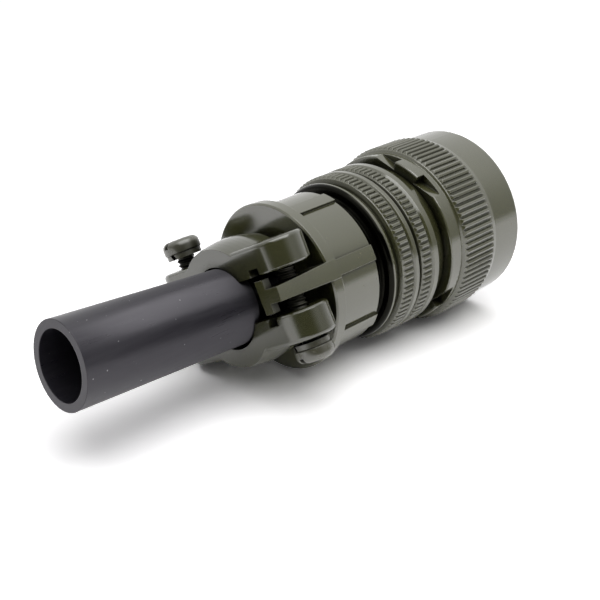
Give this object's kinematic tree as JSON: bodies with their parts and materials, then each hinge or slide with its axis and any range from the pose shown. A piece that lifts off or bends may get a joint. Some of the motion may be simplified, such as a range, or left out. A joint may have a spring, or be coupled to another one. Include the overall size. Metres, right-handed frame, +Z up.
{
  "type": "mil-spec circular connector",
  "caption": "Straight circular bayonet plug with a knurled coupling ring, socket insert, endbell, two-saddle cable clamp and rubber cable sleeve.",
  "frame": {"origin": "centre of the mating face, on the plug's axis at the coupling ring's front edge", "axes": "+X out of the mating end along the axis, +Z up as the plug lies on its side, +Y to the far side"},
  "size_m": [0.096, 0.0402, 0.0346],
  "materials": {
    "olive_plating": "semi-gloss olive drab plating",
    "olive_screw": "olive plated steel",
    "dark_steel": "dark plated spring steel",
    "spring_steel": "satin",
    "insert_plastic": "satin moulded",
    "follower_plastic": "matt moulded",
    "grommet_rubber": "matt rubber",
    "sleeve_rubber": "satin moulded rubber",
    "gilt_contact": "gilt"
  },
  "bodies": {
    "plug": {"plug_shell": "olive_plating", "face_gasket": "grommet_rubber", "retaining_ring": "spring_steel", "front_thrust_washer": "spring_steel", "wave_spring": "spring_steel", "front_insert": "insert_plastic", "rear_insert": "insert_plastic", "grommet": "grommet_rubber", "grommet_follower": "follower_plastic", "endbell": "olive_plating", "clamp_body": "olive_plating", "cable_sleeve": "sleeve_rubber", "socket_1": "gilt_contact", "socket_2": "gilt_contact", "socket_3": "gilt_contact", "socket_4": "gilt_contact", "socket_5": "gilt_contact", "socket_6": "gilt_contact", "socket_7": "gilt_contact", "socket_8": "gilt_contact", "socket_9": "gilt_contact", "socket_10": "gilt_contact"},
    "ring_float": {"rear_thrust_washer": "spring_steel"},
    "ring": {"coupling_ring": "olive_plating"},
    "upper_clamp": {"upper_saddle": "olive_plating"},
    "lower_clamp": {"lower_saddle": "olive_plating"},
    "far_fastener": {"far_screw": "olive_screw", "far_lock_washer": "dark_steel"},
    "near_fastener": {"near_screw": "olive_screw", "near_lock_washer": "dark_steel"}
  },
  "joints": [
    {"name": "ring_pull", "type": "slide", "parent": "plug", "child": "ring_float", "axis": [1, 0, 0], "range_m": [0, 0.0006], "stiffness_N_per_m": 20000, "deforming": ["wave_spring"]},
    {"name": "ring_turn", "type": "hinge", "parent": "ring_float", "child": "ring", "pos_m": [-0.01, 0, 0], "axis": [1, 0, 0], "continuous": true},
    {"name": "upper_saddle_lift", "type": "slide", "parent": "plug", "child": "upper_clamp", "axis": [0, 0.4695, 0.8829], "range_m": [0, 0.00075]},
    {"name": "lower_saddle_drop", "type": "slide", "parent": "plug", "child": "lower_clamp", "axis": [0, -0.4695, -0.8829], "range_m": [0, 0.00075]},
    {"name": "far_screw_turn", "type": "hinge", "parent": "upper_clamp", "child": "far_fastener", "pos_m": [-0.0559, 0.0113, -0.00601], "axis": [0, 0.4695, 0.8829], "range_deg": [0, 680.2]},
    {"name": "near_screw_turn", "type": "hinge", "parent": "lower_clamp", "child": "near_fastener", "pos_m": [-0.0559, -0.0113, 0.00601], "axis": [0, -0.4695, -0.8829], "range_deg": [0, 680.2]}
  ],
  "couplings": [
    {"joint": "lower_saddle_drop", "follows": "upper_saddle_lift", "ratio": 1},
    {"joint": "far_screw_turn", "follows": "upper_saddle_lift", "rad_per_m": 15827},
    {"joint": "near_screw_turn", "follows": "upper_saddle_lift", "rad_per_m": 15827}
  ]
}
